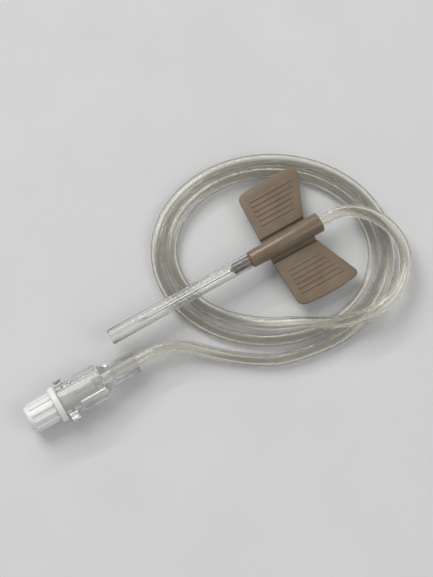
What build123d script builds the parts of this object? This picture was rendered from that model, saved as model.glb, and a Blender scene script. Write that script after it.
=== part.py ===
from build123d import *
import os
from math import cos, radians, sin, tan

# A butterfly needle: a winged steel needle in its sheath, lying on its own coil of clear tubing, which ends
# in a capped syringe connector. Millimetres, +Z up, +X along the needle towards its point.
# The origin is on the flat underside of the hub, below the needle's axis: the face that lies on the skin.

# Needle: a 27 gauge steel tube with a lancet point
NEEDLE_OUTSIDE = 0.41
NEEDLE_BORE = 0.21
NEEDLE_FREE = 19.0  # from the hub's nose to the point
NEEDLE_SEATED = 9.0  # length inside the hub
BEVEL_ANGLE = 14.0  # first grind, measured from the needle's axis
LANCET_ANGLE = 20.0  # the two side grinds
LANCET_TURN = 40.0  # how far the side grinds are turned about the axis

# Tubing: one clear tube from the hub to the connector
TUBE_OUTSIDE = 2.3
TUBE_BORE = 1.3

# Hub: a tapered barrel with a nose that the sheath is pushed over
AXIS_HEIGHT = 1.75  # needle axis above the underside
HUB_REAR = 6.8  # from the origin back to the tube's end of the barrel
HUB_FRONT = 7.6  # from the origin forward to the nose's shoulder
HUB_REAR_RADIUS = 1.85
HUB_FRONT_RADIUS = 1.55
HUB_RIM = 0.3
NOSE_LENGTH = 3.6
NOSE_RADIUS = 1.02
NOSE_CHAMFER = 0.15
HUB_TUBE_SEAT = 4.8  # how deep the tube is bonded into the hub
CHAMBER_CLEAR = 0.5  # how far the needle's inner end stands into the hub's chamber
WELL_RADIUS = 0.7  # adhesive well in the nose
WELL_DEPTH = 1.2
BEAD_CLIMB = 0.5  # how far the adhesive creeps out along the needle
BEAD_CREEP_WALL = 0.12
BOND_GAP = 0.01  # thickness of glue round what is bonded in a bore

# Wings: flat plates that fold up on a round root, which turns in a seat along the hub's web
WING_THICK = 0.8
WING_TIP = 11.4  # from the needle's axis to the wing's outer corners
WING_BULGE = 0.5  # how far the outer edge swells beyond its corners
WING_FRONT_ROOT = 4.1
WING_FRONT_TIP = 3.8
WING_REAR_ROOT = -4.8
WING_REAR_TIP = -8.6
WING_CORNER = 1.6
WING_EDGE = 0.25
HINGE_OFFSET = 0.9  # from the barrel's widest side to the fold line
HINGE_CLEARANCE = 0.03
WEB_FILLET = 0.45
RIB_COUNT = 6
RIB_PITCH = 0.95
RIB_WIDTH = 0.42
RIB_HEIGHT = 0.15
RIB_MARGIN = 1.5  # from a rib's end to the wing's edge
RIB_FIRST = 1.9  # from the wing's outer edge to the first rib

# Sheath: a plain tube, open at both ends
SHEATH_WALL = 0.35
SHEATH_FIT = 0.03  # radial clearance on the nose
SHEATH_STANDOFF = 0.2  # from the hub's shoulder to the sheath's mouth
SHEATH_OVERHANG = 5.8  # how far the sheath reaches past the needle's point
SHEATH_RIM = 0.12

# Connector: a socket with the 6 % taper of a syringe nozzle
CONNECTOR_X = 34.0  # where the tube goes in
CONNECTOR_Y = 5.8
CONNECTOR_TUBE_SEAT = 5.0
CONNECTOR_STOP = 2.0  # solid length between the tube's seat and the socket
SOCKET_DEPTH = 8.0
SOCKET_MOUTH_RADIUS = 2.14
SOCKET_TAPER = 0.03  # radius lost for each unit of depth
SLEEVE_RADIUS = 1.9
SLEEVE_SWELL = 0.4
SLEEVE_LENGTH = 6.0
BODY_RADIUS = 3.0
BODY_SHOULDER = 1.0
BODY_RIM = 0.2
GRIP_COUNT = 8
GRIP_WIDTH = 0.7
GRIP_HEIGHT = 0.3
GRIP_LENGTH = 5.0
LUG_WIDTH = 2.4
LUG_LENGTH = 1.6
LUG_REACH = 0.9

# Cap: a stopper with a hollow plug, a flange and a ribbed grip
PLUG_LENGTH = 6.5
PLUG_FIT = 0.03
PLUG_CORE_RADIUS = 1.1
PLUG_CORE_DEPTH = 7.0
PLUG_CHAMFER = 0.25
FLANGE_STANDOFF = 0.15
FLANGE_THICK = 1.2
FLANGE_EDGE = 0.3
CAP_GRIP_RADIUS = 2.45
CAP_GRIP_LENGTH = 5.2
CAP_GRIP_EDGE = 0.5
CAP_RIB_COUNT = 12
CAP_RIB_WIDTH = 0.5
CAP_RIB_HEIGHT = 0.25
CAP_RIB_MARGIN = 0.8

# The coil: a flat oval spiral on the surface that the part lies on, just under the wings
COIL_GAP = 0.1  # from the coil's top to the wings' underside
COIL_CENTRE = (3.55, 0.18)
COIL_TURN = 150.5  # from the needle to the coil's long axis, seen from above
COIL_LONG = 22.6  # half the long axis at the coil's last point
COIL_SHORT = 19.0  # half the short axis there
COIL_PITCH = 2.72  # growth with each turn
COIL_DRIFT = (0.1, -0.3)  # how far each turn's centre moves along the coil's long and short axes
COIL_FIRST = 122.5  # clockwise from the long axis, in degrees
COIL_LAST = 797.5
COIL_STEP = 22.5
RUN_SHARE = 0.45  # share of the shorter run that each bend of the tubing takes

SAME_PLACE = 1e-4  # two places closer than this are the same

# Worked out from the sizes above
HINGE_Y = HUB_REAR_RADIUS + HINGE_OFFSET
HINGE_Z = WING_THICK / 2
NOSE_END = HUB_FRONT + NOSE_LENGTH
NEEDLE_POINT = NOSE_END + NEEDLE_FREE
NEEDLE_INNER_END = NOSE_END - NEEDLE_SEATED
HUB_TUBE_END = HUB_TUBE_SEAT - HUB_REAR
SHEATH_BORE_RADIUS = NOSE_RADIUS + SHEATH_FIT
FLOOR = -COIL_GAP - TUBE_OUTSIDE
COIL_HEIGHT = FLOOR + TUBE_OUTSIDE / 2
GRIP_RADIUS = BODY_RADIUS + GRIP_HEIGHT
CONNECTOR_HEIGHT = FLOOR + GRIP_RADIUS
CONNECTOR_MOUTH = CONNECTOR_TUBE_SEAT + CONNECTOR_STOP + SOCKET_DEPTH

# The tubing's route where it isn't coiled, chosen by hand: out of the hub, over the coil and down inside it,
# and from the coil's outside to the connector
LEAD_POINTS = [
    (-10.2, 0.0, AXIS_HEIGHT),
    (-14.4, 1.9, 1.7),
    (-17.3, 6.0, 1.6),
    (-17.8, 11.0, 1.5),
    (-15.6, 15.6, 1.4),
    (-11.4, 18.4, 1.35),
    (-6.2, 19.0, 1.3),
    (-0.4, 17.4, 1.25),
    (5.2, 13.9, 0.75),
    (11.2, 10.9, -0.6),
]
TAIL_POINTS = [
    (12.8, 17.4, COIL_HEIGHT),
    (18.3, 13.7, COIL_HEIGHT),
    (22.0, 10.4, -0.6),
    (25.3, 7.4, 0.35),
    (29.4, CONNECTOR_Y, CONNECTOR_HEIGHT),
]


def turned(points):
    """Solid of revolution about the X axis, from (x, radius) points."""
    return revolve(make_face(Polyline(*points, close=True)), Axis.X)


def rod(start, end, radius):
    """Round bar along the X axis."""
    return turned([(start, 0), (end, 0), (end, radius), (start, radius)])


def round_edges(solid, at):
    """The solid's circular edges whose centres lie at one place along X."""
    circles = solid.edges().filter_by(GeomType.CIRCLE)
    return circles.filter_by(lambda edge: abs(edge.arc_center.X - at) < SAME_PLACE)


def needle_cannula():
    outside = NEEDLE_OUTSIDE / 2
    tube = rod(NEEDLE_INNER_END, NEEDLE_POINT, outside)
    tube -= rod(NEEDLE_INNER_END, NEEDLE_POINT, NEEDLE_BORE / 2)
    grinds = [(BEVEL_ANGLE, 0.0), (LANCET_ANGLE, LANCET_TURN), (LANCET_ANGLE, -LANCET_TURN)]
    for angle, turn in grinds:
        slope, lean = radians(angle), radians(turn)
        facing = (sin(slope), cos(slope) * sin(lean), cos(slope) * cos(lean))
        grind = Plane(origin=(NEEDLE_POINT, 0, -outside), z_dir=facing)
        tube = split(tube, bisect_by=grind, keep=Keep.BOTTOM)
    return Pos(0, 0, AXIS_HEIGHT) * tube


def needle_bond_bead():
    inner = NEEDLE_OUTSIDE / 2 + BOND_GAP
    well_end = NOSE_END - WELL_DEPTH
    bead = turned([
        (well_end + BOND_GAP, inner),
        (NOSE_END, WELL_RADIUS - BOND_GAP),
        (NOSE_END + BEAD_CLIMB, inner + BEAD_CREEP_WALL),
        (NOSE_END + BEAD_CLIMB, inner),
    ])
    return Pos(0, 0, AXIS_HEIGHT) * bead


def wing_hub():
    barrel = turned([
        (-HUB_REAR, 0),
        (-HUB_REAR, HUB_REAR_RADIUS),
        (HUB_FRONT, HUB_FRONT_RADIUS),
        (HUB_FRONT, NOSE_RADIUS),
        (NOSE_END, NOSE_RADIUS),
        (NOSE_END, 0),
    ])
    barrel = fillet(round_edges(barrel, -HUB_REAR), HUB_RIM)
    shoulder = round_edges(barrel, HUB_FRONT).sort_by(SortBy.RADIUS)[-1]
    barrel = fillet(shoulder, HUB_RIM)
    barrel = chamfer(round_edges(barrel, NOSE_END), NOSE_CHAMFER)
    barrel = Pos(0, 0, AXIS_HEIGHT) * barrel

    web_top = HINGE_Z - HINGE_CLEARANCE
    web_length = WING_FRONT_ROOT - WING_REAR_ROOT
    web_middle = (WING_FRONT_ROOT + WING_REAR_ROOT) / 2
    web = Pos(web_middle, 0, web_top / 2) * Box(web_length, 2 * HINGE_Y, web_top)
    hub = barrel + web
    joins = hub.edges().filter_by(lambda edge: abs(edge.center().Z - web_top) < SAME_PLACE)
    joins = joins.filter_by(lambda edge: abs(edge.center().Y) < HUB_REAR_RADIUS)
    joins = joins.filter_by(lambda edge: edge.length > web_length / 2)
    hub = fillet(joins, WEB_FILLET)
    below = Pos(0, 0, -AXIS_HEIGHT) * Box(4 * HUB_REAR, 4 * HINGE_Y, 2 * AXIS_HEIGHT)
    hub -= below

    seat_radius = WING_THICK / 2 + HINGE_CLEARANCE
    for side in (-1, 1):
        seat = rod(2 * WING_REAR_ROOT, 2 * WING_FRONT_ROOT, seat_radius)
        hub -= Pos(0, side * HINGE_Y, HINGE_Z) * seat

    well_end = NOSE_END - WELL_DEPTH
    needle_seat = NEEDLE_OUTSIDE / 2 + BOND_GAP
    hollow = rod(-HUB_REAR, HUB_TUBE_END, TUBE_OUTSIDE / 2 + BOND_GAP)
    hollow += rod(HUB_TUBE_END, NEEDLE_INNER_END + CHAMBER_CLEAR, TUBE_BORE / 2)
    hollow += rod(NEEDLE_INNER_END, NOSE_END, needle_seat)
    hollow += turned([(well_end, 0), (well_end, needle_seat), (NOSE_END, WELL_RADIUS), (NOSE_END, 0)])
    return hub - Pos(0, 0, AXIS_HEIGHT) * hollow


def left_wing():
    """The wing on the +Y side: plate, round root and grip ribs."""
    middle = (WING_FRONT_TIP + WING_REAR_TIP) / 2
    front_root = (WING_FRONT_ROOT, HINGE_Y)
    rear_root = (WING_REAR_ROOT, HINGE_Y)
    front_tip = (WING_FRONT_TIP, WING_TIP)
    rear_tip = (WING_REAR_TIP, WING_TIP)
    outer_edge = ThreePointArc(front_tip, (middle, WING_TIP + WING_BULGE), rear_tip)
    outline = Line(front_root, front_tip) + outer_edge
    outline += Line(rear_tip, rear_root) + Line(rear_root, front_root)
    plan = make_face(outline)
    corners = plan.vertices().sort_by(Axis.Y)[-2:]
    plan = fillet(corners, WING_CORNER)
    plate = extrude(plan, WING_THICK)
    rims = plate.faces().filter_by(Axis.Z).edges()
    rims = rims.filter_by(lambda edge: edge.center().Y > HINGE_Y + SAME_PLACE)
    plate = fillet(rims, WING_EDGE)
    root = rod(WING_REAR_ROOT, WING_FRONT_ROOT, WING_THICK / 2)
    wing = plate + Pos(0, HINGE_Y, HINGE_Z) * root

    span = WING_TIP - HINGE_Y
    for number in range(RIB_COUNT):
        across = WING_TIP - RIB_FIRST - number * RIB_PITCH
        share = (across - HINGE_Y) / span
        front = WING_FRONT_ROOT + share * (WING_FRONT_TIP - WING_FRONT_ROOT) - RIB_MARGIN
        rear = WING_REAR_ROOT + share * (WING_REAR_TIP - WING_REAR_ROOT) + RIB_MARGIN
        rib = Box(front - rear, RIB_WIDTH, 2 * RIB_HEIGHT)
        upper = rib.faces().sort_by(Axis.Z)[-1].edges()
        rib = chamfer(upper, RIB_HEIGHT / 2)
        wing += Pos((front + rear) / 2, across, WING_THICK) * rib
    return wing


def needle_sheath():
    mouth = HUB_FRONT + SHEATH_STANDOFF
    end = NEEDLE_POINT + SHEATH_OVERHANG
    outside = SHEATH_BORE_RADIUS + SHEATH_WALL
    tube = rod(mouth, end, outside) - rod(mouth, end, SHEATH_BORE_RADIUS)
    rims = round_edges(tube, mouth) + round_edges(tube, end)
    return Pos(0, 0, AXIS_HEIGHT) * fillet(rims, SHEATH_RIM)


def spread_round(piece, count, start=0.0):
    """Copies of a piece, evenly spaced about the X axis."""
    return [Rot(X=start + 360 * number / count) * piece for number in range(count)]


def syringe_connector():
    """One moulding in two solids, sleeve and socket. Made along X, then set where the tubing reaches it."""
    body_start = SLEEVE_LENGTH + BODY_SHOULDER
    body = turned([
        (0, 0),
        (0, SLEEVE_RADIUS),
        (SLEEVE_LENGTH, SLEEVE_RADIUS + SLEEVE_SWELL),
        (body_start, BODY_RADIUS),
        (CONNECTOR_MOUTH, BODY_RADIUS),
        (CONNECTOR_MOUTH, 0),
    ])
    body = fillet(round_edges(body, 0) + round_edges(body, CONNECTOR_MOUTH), BODY_RIM)
    grip = Pos(body_start + GRIP_LENGTH / 2, 0, GRIP_RADIUS / 2) * Box(GRIP_LENGTH, GRIP_WIDTH, GRIP_RADIUS)
    for rib in spread_round(grip, GRIP_COUNT):
        body += rib
    reach = BODY_RADIUS + LUG_REACH
    lug = Pos(CONNECTOR_MOUTH - LUG_LENGTH / 2 - BODY_RIM, 0, reach / 2) * Box(LUG_LENGTH, LUG_WIDTH, reach)
    for each in spread_round(lug, 2, start=90):
        body += each

    socket_start = CONNECTOR_MOUTH - SOCKET_DEPTH
    hollow = rod(0, CONNECTOR_TUBE_SEAT, TUBE_OUTSIDE / 2 + BOND_GAP)
    hollow += rod(CONNECTOR_TUBE_SEAT, socket_start, TUBE_BORE / 2)
    hollow += turned([
        (socket_start, 0),
        (socket_start, SOCKET_MOUTH_RADIUS - SOCKET_TAPER * SOCKET_DEPTH),
        (CONNECTOR_MOUTH, SOCKET_MOUTH_RADIUS),
        (CONNECTOR_MOUTH, 0),
    ])
    moulding = Pos(CONNECTOR_X, CONNECTOR_Y, CONNECTOR_HEIGHT) * (body - hollow)
    socket_floor = Plane(origin=(CONNECTOR_X + socket_start, 0, 0), z_dir=(1, 0, 0))
    sleeve = split(moulding, bisect_by=socket_floor, keep=Keep.BOTTOM)
    socket = split(moulding, bisect_by=socket_floor, keep=Keep.TOP)
    return sleeve, socket


def connector_cap():
    """Made along X from the tube's end of the connector, so that it shares the connector's places."""
    plug_start = CONNECTOR_MOUTH - PLUG_LENGTH
    flange_start = CONNECTOR_MOUTH + FLANGE_STANDOFF
    flange_end = flange_start + FLANGE_THICK
    cap_end = flange_end + CAP_GRIP_LENGTH
    mouth_radius = SOCKET_MOUTH_RADIUS - PLUG_FIT
    tip_radius = mouth_radius - SOCKET_TAPER * PLUG_LENGTH
    cap = turned([
        (plug_start, 0),
        (plug_start, tip_radius),
        (CONNECTOR_MOUTH, mouth_radius),
        (flange_start, mouth_radius),
        (flange_start, GRIP_RADIUS),
        (flange_end, GRIP_RADIUS),
        (flange_end, CAP_GRIP_RADIUS),
        (cap_end, CAP_GRIP_RADIUS),
        (cap_end, 0),
    ])
    cap = chamfer(round_edges(cap, plug_start), PLUG_CHAMFER)
    cap = fillet(round_edges(cap, cap_end), CAP_GRIP_EDGE)
    flange_rims = (round_edges(cap, flange_start) + round_edges(cap, flange_end)).filter_by(
        lambda edge: edge.radius > CAP_GRIP_RADIUS + SAME_PLACE
    )
    cap = fillet(flange_rims, FLANGE_EDGE)
    rib_length = CAP_GRIP_LENGTH - CAP_RIB_MARGIN
    rib_reach = CAP_GRIP_RADIUS + CAP_RIB_HEIGHT
    rib = Pos(flange_end + rib_length / 2, 0, rib_reach / 2) * Box(rib_length, CAP_RIB_WIDTH, rib_reach)
    for each in spread_round(rib, CAP_RIB_COUNT):
        cap += each
    cap -= rod(plug_start, plug_start + PLUG_CORE_DEPTH, PLUG_CORE_RADIUS)
    return Pos(CONNECTOR_X, CONNECTOR_Y, CONNECTOR_HEIGHT) * cap


def coil_points():
    """Points of the flat spiral, clockwise from inside to outside."""
    turn = radians(COIL_TURN)
    long_axis, short_axis = Vector(cos(turn), sin(turn)), Vector(-sin(turn), cos(turn))
    steps = round((COIL_LAST - COIL_FIRST) / COIL_STEP)
    points = []
    for number in range(steps + 1):
        angle = COIL_FIRST + number * COIL_STEP
        turns_left = (COIL_LAST - angle) / 360
        growth = COIL_PITCH * turns_left
        along = (COIL_LONG - growth) * cos(radians(angle)) - COIL_DRIFT[0] * turns_left
        across = -(COIL_SHORT - growth) * sin(radians(angle)) - COIL_DRIFT[1] * turns_left
        centre = Vector(*COIL_CENTRE, COIL_HEIGHT)
        points.append(centre + long_axis * along + short_axis * across)
    return points


def bend_radii(points):
    """The largest bend that each corner's two runs leave room for."""
    radii = []
    for before, corner, after in zip(points, points[1:], points[2:]):
        arriving, leaving = corner - before, after - corner
        shorter = min(arriving.length, leaving.length)
        half_turn = radians(arriving.get_angle(leaving)) / 2
        radii.append(RUN_SHARE * shorter / tan(half_turn))
    return radii


def tube_along(points, radii):
    """A hollow tube of straight runs and tangent bends."""
    path = FilletPolyline(*points, radius=radii)
    start = Plane(origin=path @ 0, z_dir=path % 0)
    section = start * (Circle(TUBE_OUTSIDE / 2) - Circle(TUBE_BORE / 2))
    return sweep(section, path=path), path.length


def tubing():
    """The whole route's bends are worked out at once, and the tube is then cut in the middle of two runs."""
    lead = [Vector(HUB_TUBE_END, 0, AXIS_HEIGHT)] + [Vector(*point) for point in LEAD_POINTS]
    coil = coil_points()
    tail = [Vector(*point) for point in TAIL_POINTS]
    tail.append(Vector(CONNECTOR_X + CONNECTOR_TUBE_SEAT, CONNECTOR_Y, CONNECTOR_HEIGHT))
    route = lead + coil + tail
    radii = bend_radii(route)
    print("bend radii", [round(radius, 1) for radius in radii])

    first_cut = (lead[-1] + coil[0]) / 2
    last_cut = (coil[-1] + tail[0]) / 2
    lead_bends = len(lead) - 1
    coil_bends = lead_bends + len(coil)
    spans = {
        "tubing_lead": (lead + [first_cut], radii[:lead_bends]),
        "tubing_coil": ([first_cut] + coil + [last_cut], radii[lead_bends:coil_bends]),
        "tubing_tail": ([last_cut] + tail, radii[coil_bends:]),
    }
    made = {}
    free_length = -HUB_TUBE_SEAT - CONNECTOR_TUBE_SEAT
    area = (Circle(TUBE_OUTSIDE / 2) - Circle(TUBE_BORE / 2)).area
    for name, (points, bends) in spans.items():
        made[name], length = tube_along(points, bends)
        free_length += length
        filled = made[name].volume / area / length
        print(name, "length", round(length, 2), "volume over section times length", round(filled, 6))
    print("free length of the tubing", round(free_length, 1))
    return made


def main():
    wing = left_wing()
    connector_sleeve, connector_socket = syringe_connector()
    parts = {
        "needle_cannula": needle_cannula(),
        "needle_bond_bead": needle_bond_bead(),
        "wing_hub": wing_hub(),
        "left_wing": wing,
        "right_wing": mirror(wing, Plane.XZ),
        "needle_sheath": needle_sheath(),
        "connector_sleeve": connector_sleeve,
        "syringe_connector": connector_socket,
        "connector_cap": connector_cap(),
        **tubing(),
    }
    os.makedirs("parts", exist_ok=True)
    for name, solid in parts.items():
        export_step(solid, f"parts/{name}.step")


main()
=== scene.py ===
# %% [markdown]
# # A butterfly needle on its coil of tubing
# This lesson dresses a small medical set: a fine steel needle in a clear sheath, two soft folding wings,
# and a loose coil of clear tube that ends in a capped syringe socket. The solids come from a CAD model as a
# fixed frame, in metres, so nothing here has to be fitted by eye. Every new piece names the CAD node that
# it stands for and the body that carries it, and then it follows the joints by itself.

# %% Load the fixed frame
import math

import bmesh
import bpy
from mathutils import Matrix, Vector


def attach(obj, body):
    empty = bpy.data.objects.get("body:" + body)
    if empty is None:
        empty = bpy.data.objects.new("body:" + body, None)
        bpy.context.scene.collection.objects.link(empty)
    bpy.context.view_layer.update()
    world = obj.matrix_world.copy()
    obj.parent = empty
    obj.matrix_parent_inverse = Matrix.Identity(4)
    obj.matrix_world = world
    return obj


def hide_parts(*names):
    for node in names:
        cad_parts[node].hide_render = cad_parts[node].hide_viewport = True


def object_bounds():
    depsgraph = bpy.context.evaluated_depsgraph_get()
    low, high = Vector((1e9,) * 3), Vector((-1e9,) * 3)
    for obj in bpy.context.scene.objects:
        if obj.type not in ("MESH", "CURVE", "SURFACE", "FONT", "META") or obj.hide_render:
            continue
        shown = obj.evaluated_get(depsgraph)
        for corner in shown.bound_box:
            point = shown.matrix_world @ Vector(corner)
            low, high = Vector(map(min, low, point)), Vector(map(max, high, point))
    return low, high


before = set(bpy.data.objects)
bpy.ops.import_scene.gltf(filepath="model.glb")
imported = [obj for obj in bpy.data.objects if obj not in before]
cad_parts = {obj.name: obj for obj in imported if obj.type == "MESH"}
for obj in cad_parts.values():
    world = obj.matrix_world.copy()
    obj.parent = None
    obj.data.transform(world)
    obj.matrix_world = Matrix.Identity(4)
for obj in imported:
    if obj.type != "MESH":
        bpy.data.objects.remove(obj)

# Sizes of the set are given in millimetres, and MM turns them into metres.
MM = 0.001
scene = bpy.context.scene
scene.view_settings.view_transform = "Standard"
cad_box = [list(corner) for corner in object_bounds()]
floor_height = cad_box[0][2]


def in_mm(box):
    """A box's corners in millimetres, short enough to print."""
    return [[round(value / MM, 2) for value in corner] for corner in box]


print("CAD box in mm", in_mm(cad_box))

# %% [markdown]
# ## The camera
# The set is seen almost from straight above, with the needle pointing to the lower left. A long lens from
# about 30 cm keeps the coil from looking stretched, as it would through a wide lens held close. The
# camera's own Z axis points backwards, so a quaternion that tracks Z along the way back to the camera aims
# it.

# %% Camera
azimuth = math.radians(150.5)
elevation = math.radians(78)
aim = Vector((15.2, 1.3, 0.5)) * MM
viewing_distance = 0.32
way_back = Vector((
    math.sin(azimuth) * math.cos(elevation),
    -math.cos(azimuth) * math.cos(elevation),
    math.sin(elevation),
))
camera = bpy.data.objects.new("camera", bpy.data.cameras.new("camera"))
scene.collection.objects.link(camera)
camera.location = aim + way_back * viewing_distance
camera.rotation_euler = way_back.to_track_quat("Z", "Y").to_euler()
camera.data.lens = 112
camera.data.clip_start = 0.005
scene.camera = camera
print("camera at", [round(value, 3) for value in camera.location])

# %% [markdown]
# ## Helpers for finishes
# Every finish is a Principled shader. A value that is the same all over a piece is set on the shader's own
# socket, and only what varies, such as colour or bump, comes through nodes. Patterns read Object
# coordinates: each piece sits at the origin, so those are real metres, and a noise scale of 1000 means one
# blob for each millimetre.

# %% Display colours
def srgb(*levels):
    """Display colour of 0 to 255 as the linear light that shaders use."""
    shares = [level / 255 for level in levels]
    return tuple(share / 12.92 if share <= 0.04045 else ((share + 0.055) / 1.055) ** 2.4 for share in shares)


print("a middle grey in linear light", round(srgb(128)[0], 3))

# %% Helpers that start a finish and a pattern
def new_finish(name, **sockets):
    """A material with these constants on its Principled shader. In a socket's name, _ stands for a space."""
    finish = bpy.data.materials.new(name)
    finish.use_nodes = True
    shader = finish.node_tree.nodes["Principled BSDF"]
    for socket, value in sockets.items():
        shader.inputs[socket.replace("_", " ")].default_value = value
    return finish, finish.node_tree, shader


def noise(tree, scale, detail=3.0, stretch=(1, 1, 1)):
    """Noise in Object coordinates. Its output is the Fac socket."""
    place = tree.nodes.new("ShaderNodeTexCoord")
    mapping = tree.nodes.new("ShaderNodeMapping")
    mapping.inputs["Scale"].default_value = stretch
    texture = tree.nodes.new("ShaderNodeTexNoise")
    texture.inputs["Scale"].default_value = scale
    texture.inputs["Detail"].default_value = detail
    tree.links.new(place.outputs["Object"], mapping.inputs["Vector"])
    tree.links.new(mapping.outputs["Vector"], texture.inputs["Vector"])
    return texture.outputs["Fac"]


# %% Helpers that turn a pattern into colour, gloss and relief
def ramp(tree, source, stops):
    """A colour ramp from (position, colour) stops."""
    node = tree.nodes.new("ShaderNodeValToRGB")
    elements = node.color_ramp.elements
    elements[0].position, elements[0].color = stops[0][0], (*stops[0][1], 1)
    elements[1].position, elements[1].color = stops[-1][0], (*stops[-1][1], 1)
    for position, colour in stops[1:-1]:
        elements.new(position).color = (*colour, 1)
    tree.links.new(source, node.inputs["Fac"])
    return node.outputs["Color"]


def spread(tree, source, low, high):
    """Maps a 0 to 1 pattern to a range, for roughness."""
    node = tree.nodes.new("ShaderNodeMapRange")
    node.inputs["To Min"].default_value = low
    node.inputs["To Max"].default_value = high
    tree.links.new(source, node.inputs["Value"])
    return node.outputs["Result"]


def bump(tree, shader, source, depth, strength):
    """Small relief. The depth is in metres."""
    node = tree.nodes.new("ShaderNodeBump")
    node.inputs["Distance"].default_value = depth
    node.inputs["Strength"].default_value = strength
    tree.links.new(source, node.inputs["Height"])
    tree.links.new(node.outputs["Normal"], shader.inputs["Normal"])


# %% [markdown]
# ## Floor
# A pale, plain floor lies at the height that the set rests on, lower by a hair, so that no faces of tube
# and floor share one plane. A faint noise keeps it from being one dead tone.

# %% Floor
floor_half_width = 4.0
floor_gap = 0.02 * MM
floor_mesh = bmesh.new()
bmesh.ops.create_grid(floor_mesh, x_segments=1, y_segments=1, size=floor_half_width)
bmesh.ops.translate(floor_mesh, vec=(0, 0, floor_height - floor_gap), verts=floor_mesh.verts)
floor_data = bpy.data.meshes.new("floor")
floor_mesh.to_mesh(floor_data)
floor_mesh.free()
floor = bpy.data.objects.new("floor", floor_data)
scene.collection.objects.link(floor)
floor_finish, tree, shader = new_finish("pale_floor", Roughness=0.75)
floor_tone = ramp(tree, noise(tree, scale=60), [(0.3, srgb(214, 214, 212)), (0.7, srgb(218, 218, 216))])
tree.links.new(floor_tone, shader.inputs["Base Color"])
floor_data.materials.append(floor_finish)
print("floor at", round(floor_height / MM, 2), "mm")

# %% [markdown]
# ## Light
# Clear plastic shows only what it bends and mirrors, so it needs an uneven surrounding: a large soft lamp
# at one side, a weaker one opposite, and a narrow one that draws the long highlights along tube and sheath.
# The lamps hang high and far off, so the floor is lit evenly up to the picture's edge. The world adds a low
# even light, so no shadow goes black. Inside a clear wall, light is mirrored to and fro many times before
# it comes out. Cycles gives up after 4 mirrored bounces, which leaves black patches, so the limits are
# raised.

# %% Lamps and world
def soft_lamp(name, place, size, power):
    """A rectangular lamp that faces the set."""
    lamp = bpy.data.lights.new(name, "AREA")
    lamp.shape = "RECTANGLE"
    lamp.size, lamp.size_y = size
    lamp.energy = power
    holder = bpy.data.objects.new(name, lamp)
    scene.collection.objects.link(holder)
    holder.location = place
    holder.rotation_euler = (place - aim).to_track_quat("Z", "Y").to_euler()


picture_turn = Matrix.Rotation(azimuth, 3, "Z")
soft_lamp("key", picture_turn @ Vector((-0.62, 0.70, 1.17)), size=(0.8, 0.8), power=9.6)
soft_lamp("fill", picture_turn @ Vector((0.93, -0.26, 1.15)), size=(0.89, 0.89), power=4.0)
soft_lamp("strip", picture_turn @ Vector((-0.60, 1.08, 0.85)), size=(1.6, 0.06), power=4.4)
world = bpy.data.worlds.new("studio")
scene.world = world
world.use_nodes = True
background = world.node_tree.nodes["Background"]
background.inputs["Color"].default_value = (0.95, 0.97, 1.0, 1)
background.inputs["Strength"].default_value = 0.4
scene.cycles.max_bounces = 32
scene.cycles.glossy_bounces = 24
scene.cycles.transmission_bounces = 24
print("lamps", [each.name for each in bpy.data.lights])

# %% [markdown]
# ## The tubing's route
# A cord is modelled from its route first. The route repeats the CAD model's points: a lead that leaves the
# hub, swings over the coil and drops inside it, a flat spiral that widens with each turn, and a tail to the
# connector. One point more on the run out of the hub, and one on the run into the connector, keep it on the
# axis of those holes. Both ends stop just short of the floors of their seats. The connector lies on its
# ribs, so their reach gives the height of its axis.

# %% Lead and tail
tube_outside = 2.3 * MM
tube_bore = 1.3 * MM
floor_level = floor_height / MM
coil_level = floor_level + tube_outside / MM / 2
axis_height = 1.75
hub_seat_floor, hub_end_gap = -2.0, 0.05
connector_x, connector_y, grip_reach = 34.0, 5.8, 3.3
connector_seat_depth, connector_end_gap = 5.0, 0.1
connector_level = floor_level + grip_reach
connector_place = Vector((connector_x, connector_y, connector_level)) * MM
lead_points = [
    (hub_seat_floor - hub_end_gap, 0.0, axis_height),
    (-6.7, 0.0, axis_height),
    (-10.8, 0.0, axis_height),
    (-14.4, 1.9, 1.7),
    (-17.3, 6.0, 1.6),
    (-17.8, 11.0, 1.5),
    (-15.6, 15.6, 1.4),
    (-11.4, 18.4, 1.35),
    (-6.2, 19.0, 1.3),
    (-0.4, 17.4, 1.25),
    (5.2, 13.9, 0.75),
    (11.2, 10.9, -0.6),
]
tail_points = [
    (12.8, 17.4, coil_level),
    (18.3, 13.7, coil_level),
    (22.0, 10.4, -0.6),
    (25.3, 7.4, 0.35),
    (29.4, connector_y, connector_level),
    (33.8, connector_y, connector_level),
    (connector_x + connector_seat_depth - connector_end_gap, connector_y, connector_level),
]
print("points of lead and tail", len(lead_points), len(tail_points))

# %% Turns of the coil
coil_centre = Vector((3.55, 0.18, coil_level))
coil_turn = math.radians(150.5)
long_axis = Vector((math.cos(coil_turn), math.sin(coil_turn), 0))
short_axis = Vector((-math.sin(coil_turn), math.cos(coil_turn), 0))
coil_long, coil_short, coil_pitch = 22.6, 19.0, 2.72
drift_along, drift_across = 0.1, -0.3
first_angle, last_angle, angle_step = 122.5, 797.5, 22.5
coil_points = []
for number in range(round((last_angle - first_angle) / angle_step) + 1):
    angle = first_angle + number * angle_step
    turns_left = (last_angle - angle) / 360
    growth = coil_pitch * turns_left
    along = (coil_long - growth) * math.cos(math.radians(angle)) - drift_along * turns_left
    across = -(coil_short - growth) * math.sin(math.radians(angle)) - drift_across * turns_left
    coil_points.append(coil_centre + long_axis * along + short_axis * across)
route = [Vector(point) * MM for point in lead_points + coil_points + tail_points]
print("points of the whole route", len(route))

# %% [markdown]
# ## A smooth line through the route
# A NURBS spline of order 3 takes the points as its control points and runs smoothly inside their corners.
# The order is set after the points are added, because a spline with too few points would fall back to
# straight runs. A curve without a bevel becomes a plain line of vertices, and those give the tube's length.

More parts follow.
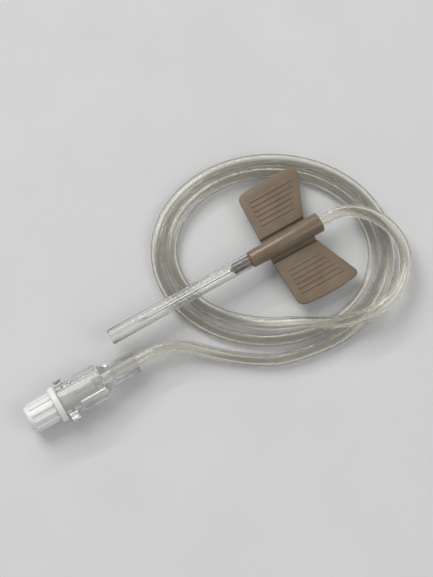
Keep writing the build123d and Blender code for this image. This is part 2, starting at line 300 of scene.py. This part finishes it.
# %% Smooth curve
def tube_curve(name, radius):
    """The route as a NURBS curve, with a round bevel of this radius, or none for 0."""
    curve = bpy.data.curves.new(name, "CURVE")
    curve.dimensions = "3D"
    curve.resolution_u = 8
    curve.bevel_depth = radius
    curve.bevel_resolution = 10
    spline = curve.splines.new("NURBS")
    spline.points.add(len(route) - 1)
    for point, place in zip(spline.points, route):
        point.co = (*place, 1)
    spline.order_u = 3
    spline.use_endpoint_u = True
    return bpy.data.objects.new(name, curve)


def swept(name, radius):
    """The mesh that Blender makes of the curve."""
    return bpy.data.meshes.new_from_object(tube_curve(name, radius))


line = swept("tubing_line", 0)
tube_path = [vertex.co.copy() for vertex in line.vertices]
tube_length = sum((b - a).length for a, b in zip(tube_path, tube_path[1:]))
print("tube length", round(tube_length / MM, 1), "mm")

# %% [markdown]
# ## The hollow tube
# Clear tube reads as tube only if it is hollow: light bends at the outer wall and again at the bore, which
# draws the bright lines along it. The curve is swept once, as an open skin, and its faces are turned
# outwards. Solidify then gives that skin its wall: it adds the bore, with faces that point into the hollow,
# and closes both ends.

# %% Hollow tube
tube = bmesh.new()
tube.from_mesh(swept("tube_skin", tube_outside / 2))
bmesh.ops.recalc_face_normals(tube, faces=tube.faces)
print("faces of the skin", len(tube.faces))
bmesh.ops.solidify(tube, geom=tube.faces[:], thickness=(tube_outside - tube_bore) / 2)
wall_section = math.pi / 4 * (tube_outside ** 2 - tube_bore ** 2)
print("volume over section times length", round(tube.calc_volume() / wall_section / tube_length, 3))

# %% [markdown]
# ## From a bmesh to a piece
# A bmesh is only the workbench. A helper turns it into an object that stays at the origin, with its place
# in its mesh, shades it smooth but for its sharp edges, hangs it on the body that carries it and hides the
# CAD nodes it stands for.

# %% Helper that finishes a piece
def finish_piece(name, shape, finish, body, *nodes, sharp=35.0):
    """Turns a bmesh into an object at the origin, smooth but for edges sharper than the given angle."""
    data = bpy.data.meshes.new(name)
    shape.to_mesh(data)
    shape.free()
    data.polygons.foreach_set("use_smooth", [True] * len(data.polygons))
    data.set_sharp_from_angle(angle=math.radians(sharp))
    data.materials.append(finish)
    piece = bpy.data.objects.new(name, data)
    scene.collection.objects.link(piece)
    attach(piece, body)
    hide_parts(*nodes)
    print(name, len(data.vertices), "vertices,", len(data.polygons), "faces")
    return piece


# %% [markdown]
# ## Clear plastic
# Tube, sheath, connector and glue are all clear, and differ in tint, haze and surface. One recipe serves
# them: a noise mixes two near tints, varies the roughness and lifts the surface a little. Light crosses
# four surfaces on its way through a tube, and each one adds its own bend, so the relief stays very low.

# %% Clear plastic and the tubing
relief_depth = 0.02 * MM


def clear_plastic(name, clearness, tints, gloss_range, relief, **pattern):
    """Clear plastic: two tints, a range of roughness, a strength of relief and one noise's settings."""
    finish, tree, shader = new_finish(name, IOR=1.5, Transmission_Weight=clearness)
    haze = noise(tree, **pattern)
    tint = ramp(tree, haze, [(0.3, srgb(*tints[0])), (0.7, srgb(*tints[1]))])
    tree.links.new(tint, shader.inputs["Base Color"])
    tree.links.new(spread(tree, haze, *gloss_range), shader.inputs["Roughness"])
    bump(tree, shader, haze, relief_depth, relief)
    return finish


tube_finish = clear_plastic(
    "clear_soft_tube",
    clearness=1.0,
    tints=((253, 251, 246), (251, 249, 242)),
    gloss_range=(0.05, 0.09),
    relief=0.05,
    scale=420,
    detail=2.0,
)
tubing = finish_piece(
    "tubing", tube, tube_finish, "hub_and_tubing", "tubing_lead", "tubing_coil", "tubing_tail", sharp=60.0
)

# %% [markdown]
# ## Turned pieces
# Needle, hub, sheath, connector, cap and the adhesive bead are all round, so each is a profile spun about a
# line along X. A few vertices joined by edges make the profile, and a full spin with merging closes it.
# Ring edges that the mould would have rounded are bevelled afterwards, because a bevel keeps the same width
# all the way round.

# %% Lathe helpers
same_place = 0.001 * MM
ring_slack = 0.01


def lathe(shape, profile, centre, steps, closed=True):
    """Spins (x, radius) points, in mm, about a line along X through the centre."""
    ring = [shape.verts.new(Vector((x * MM, 0, radius * MM)) + Vector(centre)) for x, radius in profile]
    pairs = list(zip(ring, ring[1:])) + ([(ring[-1], ring[0])] if closed else [])
    edges = [shape.edges.new(pair) for pair in pairs]
    bmesh.ops.spin(
        shape, geom=ring + edges, cent=centre, axis=(1, 0, 0), angle=math.tau, steps=steps, use_merge=True
    )
    bmesh.ops.remove_doubles(shape, verts=shape.verts, dist=same_place)
    bmesh.ops.recalc_face_normals(shape, faces=shape.faces)


def soften(shape, geom, offset, segments, affect="EDGES"):
    """Rounds edges, or corners, by so many mm."""
    bmesh.ops.bevel(
        shape, geom=geom, offset=offset * MM, offset_type="OFFSET", segments=segments, profile=0.5,
        affect=affect, material=-1, clamp_overlap=True,
    )


def distance_out(place, centre):
    """Distance from a line along X, in mm."""
    return math.hypot(place.y - centre[1], place.z - centre[2]) / MM


def round_ring(shape, centre, x, radius, offset, segments=4):
    """Rounds the ring of edges at one place of the profile."""
    at = centre[0] + x * MM
    beside = {vert for vert in shape.verts if abs(vert.co.x - at) < same_place}
    on_ring = {vert for vert in beside if abs(distance_out(vert.co, centre) - radius) < ring_slack}
    soften(shape, [edge for edge in shape.edges if on_ring.issuperset(edge.verts)], offset, segments)


needle_line = (0.0, 0.0, axis_height * MM)
print("needle line at", round(needle_line[2] / MM, 2), "mm")

# %% [markdown]
# ## The steel needle
# The needle is a drawn tube no thicker than a pencil lead, ground three times: one long slant, then two
# side facets that meet in a lancet point. A ring profile is spun into a tube that is a little too long.
# Three blocks, each with one face in the plane of a grind, are then taken away by a Boolean modifier, which
# also closes every facet.

# %% Helper that combines two shapes
merge_distance = 0.003 * MM
sorting_direction = Vector((0.91, 0.37, 0.17))


def unclosed(shape):
    """How many edges don't lie between two faces."""
    return sum(not edge.is_manifold for edge in shape.edges)


def combined(first, second, operation):
    """The union or difference of two closed shapes, as one closed skin."""
    holders = []
    for shape in (first, second):
        data = bpy.data.meshes.new("operand")
        shape.to_mesh(data)
        shape.free()
        holders.append(bpy.data.objects.new("operand", data))
        scene.collection.objects.link(holders[-1])
    boolean = holders[0].modifiers.new("boolean", "BOOLEAN")
    boolean.operation = operation
    boolean.solver = "EXACT"
    boolean.object = holders[1]
    done = holders[0].evaluated_get(bpy.context.evaluated_depsgraph_get())
    skin = bmesh.new()
    skin.from_mesh(bpy.data.meshes.new_from_object(done))
    for holder in holders:
        bpy.data.objects.remove(holder)
    # The modifier leaves its corners in no fixed order, and sorting makes the merge the same each run.
    skin.verts.sort(key=lambda vert: vert.co.dot(sorting_direction))
    bmesh.ops.remove_doubles(skin, verts=skin.verts, dist=merge_distance)
    print(operation.lower(), len(skin.faces), "faces, edges not closed", unclosed(skin))
    return skin


# %% Needle
needle_inner_end, needle_point, spare_length = 2.2, 30.2, 0.5
needle_radius, lumen_radius = 0.205, 0.105
blank_end = needle_point + spare_length
needle_profile = [
    (needle_inner_end, lumen_radius), (needle_inner_end, needle_radius),
    (blank_end, needle_radius), (blank_end, lumen_radius),
]
needle = bmesh.new()
lathe(needle, needle_profile, needle_line, steps=32)
lowest_point = Vector((needle_point * MM, 0, needle_line[2] - needle_radius * MM))
block_size = 4 * MM
grinds = [(14, 0), (20, 40), (20, -40)]
for slope_degrees, lean_degrees in grinds:
    slope, lean = math.radians(slope_degrees), math.radians(lean_degrees)
    facing = Vector((math.sin(slope), math.cos(slope) * math.sin(lean), math.cos(slope) * math.cos(lean)))
    turn = facing.to_track_quat("Z", "Y").to_matrix().to_4x4()
    place = Matrix.Translation(lowest_point) @ turn @ Matrix.Translation((0, 0, block_size / 2))
    block = bmesh.new()
    bmesh.ops.create_cube(block, size=block_size, matrix=place)
    needle = combined(needle, block, "DIFFERENCE")

# %% [markdown]
# ## Drawn steel
# Drawing the tube through a die leaves fine lines along it. A noise that is stretched along X gives such
# lines, and it drives both the gloss and a very low relief.

# %% Steel finish
steel, tree, shader = new_finish("drawn_steel", Metallic=1.0, Base_Color=(*srgb(205, 207, 210), 1))
drawn_lines = noise(tree, scale=9000, detail=2.0, stretch=(0.02, 1, 1))
tree.links.new(spread(tree, drawn_lines, low=0.16, high=0.32), shader.inputs["Roughness"])
bump(tree, shader, drawn_lines, depth=0.002 * MM, strength=0.4)
needle_piece = finish_piece("needle", needle, steel, "hub_and_tubing", "needle_cannula", sharp=25.0)

# %% [markdown]
# ## The adhesive bead
# A drop of glue holds the needle in the hub's nose. It fills a small well and creeps out along the steel,
# so its profile is a cone inside and a hollow curve outside.

# %% Adhesive bead
needle_seat_radius = 0.215
bead_profile = [
    (10.01, needle_seat_radius), (11.19, 0.69), (11.24, 0.62), (11.32, 0.5), (11.45, 0.4), (11.7, 0.3),
    (11.7, needle_seat_radius),
]
bead = bmesh.new()
lathe(bead, bead_profile, needle_line, steps=32)
glue = clear_plastic(
    "cured_glue",
    clearness=0.7,
    tints=((240, 234, 210), (234, 227, 198)),
    gloss_range=(0.08, 0.18),
    relief=0.1,
    scale=2500,
)
bead_piece = finish_piece("adhesive_bead", bead, glue, "hub_and_tubing", "needle_bond_bead")

# %% [markdown]
# ## Soft wing plastic
# Hub and wings are one moulding of soft taupe plastic. A close look shows a slightly cloudy colour and the
# fine matt grain of the mould, so a broad noise mixes three near shades, a medium one varies the gloss, and
# a fine one gives the relief. A little light passes under the skin, which softens the edges. The mould is
# polished round the barrel and grained under the wings, so the same recipe is mixed twice, glossier for the
# hub.

# %% Wing plastic finishes
def soft_plastic(name, gloss_range, grain):
    """Taupe plastic with a range of roughness and a depth of grain, in mm."""
    finish, tree, shader = new_finish(
        name,
        IOR=1.47,
        Subsurface_Weight=0.15,
        Subsurface_Scale=0.5 * MM,
        Subsurface_Radius=(1.0, 0.85, 0.7),
    )
    cloud = ramp(
        tree, noise(tree, scale=260, detail=4.0),
        [(0.3, srgb(117, 101, 82)), (0.5, srgb(125, 109, 90)), (0.72, srgb(133, 117, 97))],
    )
    tree.links.new(cloud, shader.inputs["Base Color"])
    tree.links.new(spread(tree, noise(tree, scale=900), *gloss_range), shader.inputs["Roughness"])
    bump(tree, shader, noise(tree, scale=9000, detail=2.0), depth=grain * MM, strength=0.5)
    return finish


wing_plastic = soft_plastic("grained_taupe", gloss_range=(0.36, 0.5), grain=0.012)
hub_plastic = soft_plastic("polished_taupe", gloss_range=(0.15, 0.24), grain=0.004)
print("finishes", wing_plastic.name, hub_plastic.name)

# %% [markdown]
# ## The hub
# The barrel takes the tube at the rear and narrows to a nose for the sheath. It is spun with its bores, so
# the tube and the needle sit in real holes. A thin web runs under the barrel and out to both fold lines,
# with a fillet up each side and a round seat for each wing's root: one outline, pulled along X. A Boolean
# modifier joins the two shapes, because only that finds the line where they cross. Both reach a little too
# low, so one plane then cuts the whole underside flat, and the cut is closed.

# %% Hub barrel
hub_rear, hub_front, nose_end, chamber_end = -6.8, 7.6, 11.2, 2.7
rear_radius, front_radius, nose_radius = 1.85, 1.55, 1.02
tube_seat_radius, bore_radius = 1.16, 0.65
well_radius, well_depth = 0.7, 1.2
end_round, fine_round = 0.3, 0.12
hub_profile = [
    (hub_rear, tube_seat_radius), (hub_rear, rear_radius),
    (hub_front, front_radius), (hub_front, nose_radius),
    (nose_end, nose_radius), (nose_end, well_radius), (nose_end - well_depth, needle_seat_radius),
    (chamber_end, needle_seat_radius), (chamber_end, bore_radius),
    (hub_seat_floor, bore_radius), (hub_seat_floor, tube_seat_radius),
]
hub = bmesh.new()
lathe(hub, hub_profile, needle_line, steps=64)
round_ring(hub, needle_line, hub_rear, rear_radius, end_round)
round_ring(hub, needle_line, hub_front, front_radius, end_round)
round_ring(hub, needle_line, nose_end, nose_radius, fine_round, segments=2)
round_ring(hub, needle_line, hub_rear, tube_seat_radius, fine_round, segments=3)
print("barrel", len(hub.faces), "faces")

# %% Outline of the web
fold_line, fold_height = 2.75, 0.4
wing_front, wing_rear = 4.1, -4.8
seat_radius, web_top, spare_depth = 0.43, 0.37, 0.3
# The fillet's arc bites a little into the barrel, so that the two skins cross.
fillet, bite = 0.45, 0.005
# These points, out to one side and up, lie in the barrel's wall, clear of its bore.
inside_barrel = [(1.25, 0.95), (0.3, 0.3)]


def barrel_radius(x):
    """The barrel's radius along its taper, in mm."""
    return rear_radius + (front_radius - rear_radius) * (x - hub_rear) / (hub_front - hub_rear)


def fillet_centre(x):
    """How far out the fillet's centre lies at one place along the barrel."""
    return math.sqrt((barrel_radius(x) + fillet - bite) ** 2 - (axis_height - web_top - fillet) ** 2)


def arc_points(centre, radius, first, last, count=7):
    """Points (y, z) of an arc from one angle to another, in degrees."""
    angles = [math.radians(first + (last - first) * number / (count - 1)) for number in range(count)]
    return [(centre[0] + radius * math.cos(angle), centre[1] + radius * math.sin(angle)) for angle in angles]


seat_low = 180 + math.degrees(math.asin(fold_height / seat_radius))
seat_high = 180 + math.degrees(math.asin((fold_height - web_top) / seat_radius))
seat_points = arc_points((fold_line, fold_height), seat_radius, seat_low, seat_high)
rear_centre = (fillet_centre(wing_rear), web_top + fillet)
tangent = math.degrees(math.atan2(axis_height - rear_centre[1], -rear_centre[0]))
fillet_points = arc_points(rear_centre, fillet, 270, tangent)
below_seat = (seat_points[0][0], -spare_depth)
half_outline = [below_seat] + seat_points + fillet_points + inside_barrel
outline = half_outline + [(-y, z) for y, z in reversed(half_outline)]
print("points of the web's outline", len(outline))

# %% Web with the wings' seats
def pulled_verts(shape, faces):
    """Extrudes faces and gives the new corners."""
    pulled = bmesh.ops.extrude_face_region(shape, geom=faces)
    return [item for item in pulled["geom"] if isinstance(item, bmesh.types.BMVert)]


web = bmesh.new()
rear_face = web.faces.new([web.verts.new((wing_rear * MM, y * MM, z * MM)) for y, z in outline])
front_verts = pulled_verts(web, [rear_face])
bmesh.ops.translate(web, vec=((wing_front - wing_rear) * MM, 0, 0), verts=front_verts)
narrowing = (fillet_centre(wing_rear) - fillet_centre(wing_front)) * MM
fillet_places = [Vector((y, z)) * MM for y, z in fillet_points]
for vert in front_verts:
    place = Vector((abs(vert.co.y), vert.co.z))
    if any((place - fillet_place).length < same_place for fillet_place in fillet_places):
        vert.co.y -= math.copysign(narrowing, vert.co.y)
bmesh.ops.recalc_face_normals(web, faces=web.faces)
print("web", len(web.faces), "faces")

# %% Barrel and web as one skin
hub = combined(hub, web, "UNION")
cut = bmesh.ops.bisect_plane(
    hub, geom=hub.verts[:] + hub.edges[:] + hub.faces[:], dist=same_place, plane_co=(0, 0, 0),
    plane_no=(0, 0, -1), clear_outer=True,
)
cut_rim = [item for item in cut["geom_cut"] if isinstance(item, bmesh.types.BMEdge)]
bmesh.ops.holes_fill(hub, edges=cut_rim, sides=0)
print("edges of the hub that aren't closed", unclosed(hub))
hub_piece = finish_piece("hub", hub, hub_plastic, "hub_and_tubing", "wing_hub")

# %% [markdown]
# ## The wings
# Each wing is a thin plate, wider at its tip than at its root, with a slightly bowed outer edge. Its
# outline is one face: corner vertices are bevelled to round them in plan, and the face is pulled up to the
# plate's thickness. The root becomes a full round by bevelling its two long edges by almost half the
# thickness, so it can turn in the hub's seat. It is bevelled before the rims, because a bevel can't pass
# what an earlier one has left.

# %% Outline of a wing
front_tip, rear_tip, wing_tip = 3.8, -8.6, 11.4
wing_thick, bulge, corner_round = 0.8, 0.5, 1.15
wing_root = fold_line - wing_thick / 2
half_width = (front_tip - rear_tip) / 2
bow_radius = (half_width * half_width + bulge * bulge) / (2 * bulge)
bow_angle = math.asin(half_width / bow_radius)
bow_middle = (front_tip + rear_tip) / 2
bow = []
for share in (1, 0.6, 0.4, 0.2, 0, -0.2, -0.4, -0.6, -1):
    angle = bow_angle * share
    drop = bow_radius * (1 - math.cos(angle))
    bow.append((bow_middle + bow_radius * math.sin(angle), wing_tip + bulge - drop))
wing_outline = [(wing_front, wing_root)] + bow + [(wing_rear, wing_root)]
plate = bmesh.new()
plate.faces.new([plate.verts.new((x * MM, y * MM, 0)) for x, y in wing_outline])
outer_verts = [vert for vert in plate.verts if vert.co.y > fold_line * MM]
outer_verts.sort(key=lambda vert: vert.co.x)
soften(plate, [outer_verts[0], outer_verts[-1]], corner_round, 8, affect="VERTICES")
print("points of the rounded outline", len(plate.verts))

# %% Wing plate
root_round, rim_round = 0.39, 0.22
rim_angle = math.radians(60)
upper_verts = pulled_verts(plate, plate.faces[:])
bmesh.ops.translate(plate, vec=(0, 0, wing_thick * MM), verts=upper_verts)
bmesh.ops.recalc_face_normals(plate, faces=plate.faces)
root_verts = {vert for vert in plate.verts if vert.co.y < wing_root * MM + same_place}
root_edges = [edge for edge in plate.edges if root_verts.issuperset(edge.verts)]
level_edges = [edge for edge in root_edges if abs(edge.verts[0].co.z - edge.verts[1].co.z) < same_place]
soften(plate, level_edges, root_round, 6)
rims = [edge for edge in plate.edges if edge.calc_face_angle() > rim_angle]
soften(plate, rims, rim_round, 3)
bmesh.ops.remove_doubles(plate, verts=plate.verts, dist=merge_distance)
print("wing plate", len(plate.faces), "faces, root at", round(wing_root, 2))

# %% [markdown]
# ## Grip ribs
# Low ribs give fingers a hold. They could be boxes sunk into the plate, but then their hidden faces would
# stay inside it. Cutting planes mark each rib on the plate's upper side instead, and the marked patches are
# pulled up, so plate and ribs are one closed skin.

# %% Helpers that mark and pull faces
snap_distance = 0.002 * MM
level_normal = 0.999


def upper_faces(shape, across=0.0, reach=math.inf):
    """Faces of the flat upper side. With a reach, only those whose middle is about so far across."""
    level = [face for face in shape.faces if face.normal.z > level_normal]
    return [face for face in level if abs(face.calc_center_median().y / MM - across) < reach]


def mark(shape, faces, place, facing):
    """Cuts faces along a plane."""
    edges = {edge for face in faces for edge in face.edges}
    verts = {vert for face in faces for vert in face.verts}
    bmesh.ops.bisect_plane(
        shape, geom=[*verts, *edges, *faces], dist=snap_distance, plane_co=place, plane_no=facing
    )


def pull_faces(shape, faces, step):
    """Pulls patches of faces out of the skin. The step is a function of a corner's place."""
    for vert in pulled_verts(shape, faces):
        vert.co += step(vert.co)
    bmesh.ops.delete(shape, geom=faces, context="FACES")


plate.normal_update()
print("upper faces of the plate", len(upper_faces(plate)))

# %% Grip ribs
rib_count, rib_pitch, rib_width, rib_height, rib_round = 6, 0.95, 0.42, 0.15, 0.12
rib_margin, first_rib, middle_slack = 1.5, 1.9, 0.01
ribs = []
for number in range(rib_count):
    across = wing_tip - first_rib - number * rib_pitch
    share = (across - fold_line) / (wing_tip - fold_line)
    front = wing_front + share * (front_tip - wing_front) - rib_margin
    rear = wing_rear + share * (rear_tip - wing_rear) + rib_margin
    for side in (across - rib_width / 2, across + rib_width / 2):
        mark(plate, upper_faces(plate), (0, side * MM, 0), (0, 1, 0))
    for end in (front, rear):
        mark(plate, upper_faces(plate, across, middle_slack), (end * MM, 0, 0), (1, 0, 0))
    row = upper_faces(plate, across, middle_slack)
    ribs += [face for face in row if rear < face.calc_center_median().x / MM < front]
print("faces marked as ribs", len(ribs))
pull_faces(plate, ribs, lambda place: Vector((0, 0, rib_height * MM)))
top_verts = {vert for vert in plate.verts if vert.co.z > (wing_thick + rib_height / 2) * MM}
soften(plate, [edge for edge in plate.edges if top_verts.issuperset(edge.verts)], rib_round, 3)
print("wing with ribs", len(plate.faces), "faces, edges not closed", unclosed(plate))

# %% [markdown]
# ## Both wings
# The second wing is the first one mirrored. A negative scale turns a shape inside out, so its faces are
# turned back.

# %% Both wings
other = plate.copy()
bmesh.ops.scale(other, vec=(1, -1, 1), verts=other.verts)
bmesh.ops.reverse_faces(other, faces=other.faces)
left_wing = finish_piece("left_wing_plate", plate, wing_plastic, "left_wing", "left_wing")
right_wing = finish_piece("right_wing_plate", other, wing_plastic, "right_wing", "right_wing")

# %% [markdown]
# ## The sheath
# The needle's cover is a length of clear tube with cut ends. It is a closed ring profile, so it has a real
# wall, and the light that passes it is bent twice. A faint roughness makes it a little hazier than the
# tubing.

# %% Sheath
sheath_mouth, sheath_end, cut_round = 7.8, 36.0, 0.1
inner_radius, outer_radius = 1.05, 1.4
sheath_profile = [
    (sheath_mouth, inner_radius), (sheath_mouth, outer_radius),
    (sheath_end, outer_radius), (sheath_end, inner_radius),
]
sheath = bmesh.new()
lathe(sheath, sheath_profile, needle_line, steps=48)
for x, radius in sheath_profile:
    round_ring(sheath, needle_line, x, radius, cut_round, segments=3)
sheath_finish = clear_plastic(
    "clear_sheath",
    clearness=0.97,
    tints=((251, 251, 249), (247, 247, 244)),
    gloss_range=(0.09, 0.16),
    relief=0.08,
    scale=600,
    detail=2.0,
    stretch=(0.1, 1, 1),
)
sheath_piece = finish_piece("sheath", sheath, sheath_finish, "needle_sheath", "needle_sheath")

# %% [markdown]
# ## The syringe connector
# A stiff clear moulding: a sleeve that the tube is glued into, a ribbed grip, and a tapered socket with two
# lugs at its mouth. The body is spun with the socket inside it. Ribs and lugs are then faces of that body,
# picked by their angle and pulled outwards, so the moulding stays one closed skin with nothing hidden
# inside the clear plastic.

# %% Helpers for ribs and lugs
surface_slack = 0.05


def pick_faces(shape, centre, x_range, radius, count, half_angle, start=0.0):
    """Outer faces between two places along X, close to evenly spaced angles about the centre line."""
    step = 360 / count
    picked = []
    for face in shape.faces:
        middle = face.calc_center_median()
        x = (middle.x - centre[0]) / MM
        if not x_range[0] < x < x_range[1] or abs(distance_out(middle, centre) - radius) > surface_slack:
            continue
        angle = math.degrees(math.atan2(middle.y - centre[1], middle.z - centre[2])) - start
        if abs((angle + step / 2) % step - step / 2) < half_angle:
            picked.append(face)
    return picked


def outwards(centre, height):
    """A step of so many mm away from a line along X."""
    def step(place):
        return Vector((0, place.y - centre[1], place.z - centre[2])).normalized() * height * MM
    return step


def soften_sharp(shape, offset, least_angle, keep=lambda edge: True):
    """Rounds every edge that turns by more than an angle."""
    closed = [edge for edge in shape.edges if len(edge.link_faces) == 2 and keep(edge)]
    sharp = [edge for edge in closed if edge.calc_face_angle() > math.radians(least_angle)]
    soften(shape, sharp, offset, 2)


print("connector's line at", [round(value / MM, 2) for value in connector_place])

# %% Connector
sleeve_radius, sleeve_end, sleeve_end_radius = 1.9, 6, 2.3
body_start, body_radius, mouth = 7, 3.0, 15
socket_floor, socket_floor_radius, mouth_radius = 7, 1.9, 2.14
grip_range, grip_count, grip_half_angle, grip_height = (7.15, 12.0), 8, 7.4, 0.3
lug_range, lug_count, lug_half_angle, lug_height = (13.2, 14.8), 2, 22.4, 0.9
edge_round, edge_angle = 0.09, 35
body_rings = [(x, body_radius) for x in (body_start, *grip_range, *lug_range, mouth)]
connector_profile = [
    (0, tube_seat_radius), (0, sleeve_radius), (sleeve_end, sleeve_end_radius), *body_rings,
    (mouth, mouth_radius), (socket_floor, socket_floor_radius), (socket_floor, bore_radius),
    (connector_seat_depth, bore_radius), (connector_seat_depth, tube_seat_radius),
]
connector = bmesh.new()
lathe(connector, connector_profile, connector_place, steps=48)
grips = pick_faces(connector, connector_place, grip_range, body_radius, grip_count, grip_half_angle)
pull_faces(connector, grips, outwards(connector_place, grip_height))
lugs = pick_faces(connector, connector_place, lug_range, body_radius, lug_count, lug_half_angle, start=90)
pull_faces(connector, lugs, outwards(connector_place, lug_height))
bmesh.ops.recalc_face_normals(connector, faces=connector.faces)
soften_sharp(connector, edge_round, edge_angle)
clear_moulding = clear_plastic(
    "clear_moulding",
    clearness=0.95,
    tints=((251, 251, 249), (248, 248, 246)),
    gloss_range=(0.07, 0.13),
    relief=0.1,
    scale=500,
)
connector_piece = finish_piece(
    "connector", connector, clear_moulding, "hub_and_tubing", "connector_sleeve", "syringe_connector"
)

# %% [markdown]
# ## The cap
# The stopper is white: a hollow plug that fits the socket's taper, a flange to push against and a ribbed
# grip. The profile starts and ends on the centre line, so it is left open there and the spin merges its
# poles. Its places along X count from the tube's end of the connector, as the connector's do.

# %% Cap
plug_start, shoulder = 8.5, 8.75
tip_radius, shoulder_radius, plug_radius = 1.66, 1.92, 2.11
core_radius, core_end = 1.1, 15.5
flange_start, flange_end, flange_radius, flange_round = 15.15, 16.35, 3.3, 0.3
cap_end, cap_radius, cap_round = 21.55, 2.45, 0.5
cap_rib_range, cap_rib_count, cap_rib_half_angle, cap_rib_height = (16.4, 20.75), 12, 4.9, 0.25
cap_rings = [(x, cap_radius) for x in (flange_end, *cap_rib_range, cap_end)]
cap_profile = [
    (core_end, 0), (core_end, core_radius), (plug_start, core_radius), (plug_start, tip_radius),
    (shoulder, shoulder_radius), (mouth, plug_radius), (flange_start, plug_radius),
    (flange_start, flange_radius), (flange_end, flange_radius), *cap_rings, (cap_end, 0),
]
cap = bmesh.new()
lathe(cap, cap_profile, connector_place, steps=72, closed=False)
round_ring(cap, connector_place, cap_end, cap_radius, cap_round)
round_ring(cap, connector_place, flange_start, flange_radius, flange_round)
round_ring(cap, connector_place, flange_end, flange_radius, flange_round)
cap_ribs = pick_faces(cap, connector_place, cap_rib_range, cap_radius, cap_rib_count, cap_rib_half_angle)
pull_faces(cap, cap_ribs, outwards(connector_place, cap_rib_height))
bmesh.ops.recalc_face_normals(cap, faces=cap.faces)
print("faces pulled up as ribs of the cap", len(cap_ribs))

# %% Softer ribs on the cap
top_radius, top_slack = cap_radius + cap_rib_height, 0.1
top_round, top_angle = 0.06, 60


def on_rib_top(edge):
    """Whether an edge lies as far out as the tops of the cap's ribs."""
    return all(abs(distance_out(vert.co, connector_place) - top_radius) < top_slack for vert in edge.verts)


soften_sharp(cap, top_round, top_angle, on_rib_top)
print("cap", len(cap.faces), "faces, edges not closed", unclosed(cap))

# %% [markdown]
# ## White moulding
# The cap's plastic is filled with white and lets a little light in. A slow noise shifts its shade, a finer
# one its gloss, and the finest is the texture of the mould.

# %% White finish
white_moulding, tree, shader = new_finish(
    "white_moulding", IOR=1.49, Subsurface_Weight=0.15, Subsurface_Scale=0.5 * MM
)
shade = ramp(tree, noise(tree, scale=350), [(0.3, srgb(232, 232, 228)), (0.7, srgb(239, 239, 236))])
tree.links.new(shade, shader.inputs["Base Color"])
tree.links.new(spread(tree, noise(tree, scale=1200), low=0.28, high=0.4), shader.inputs["Roughness"])
bump(tree, shader, noise(tree, scale=7000, detail=2.0), depth=0.008 * MM, strength=0.3)
cap_piece = finish_piece("cap", cap, white_moulding, "connector_cap", "connector_cap")

# %% [markdown]
# ## The cord's length
# The tubing is flexible. Its path is the line read back from the spline, and that line's length is printed
# beside a length of 310.7 mm given for it.

print("declared length 310.7 mm, spline", round(tube_length / MM, 1), "mm")
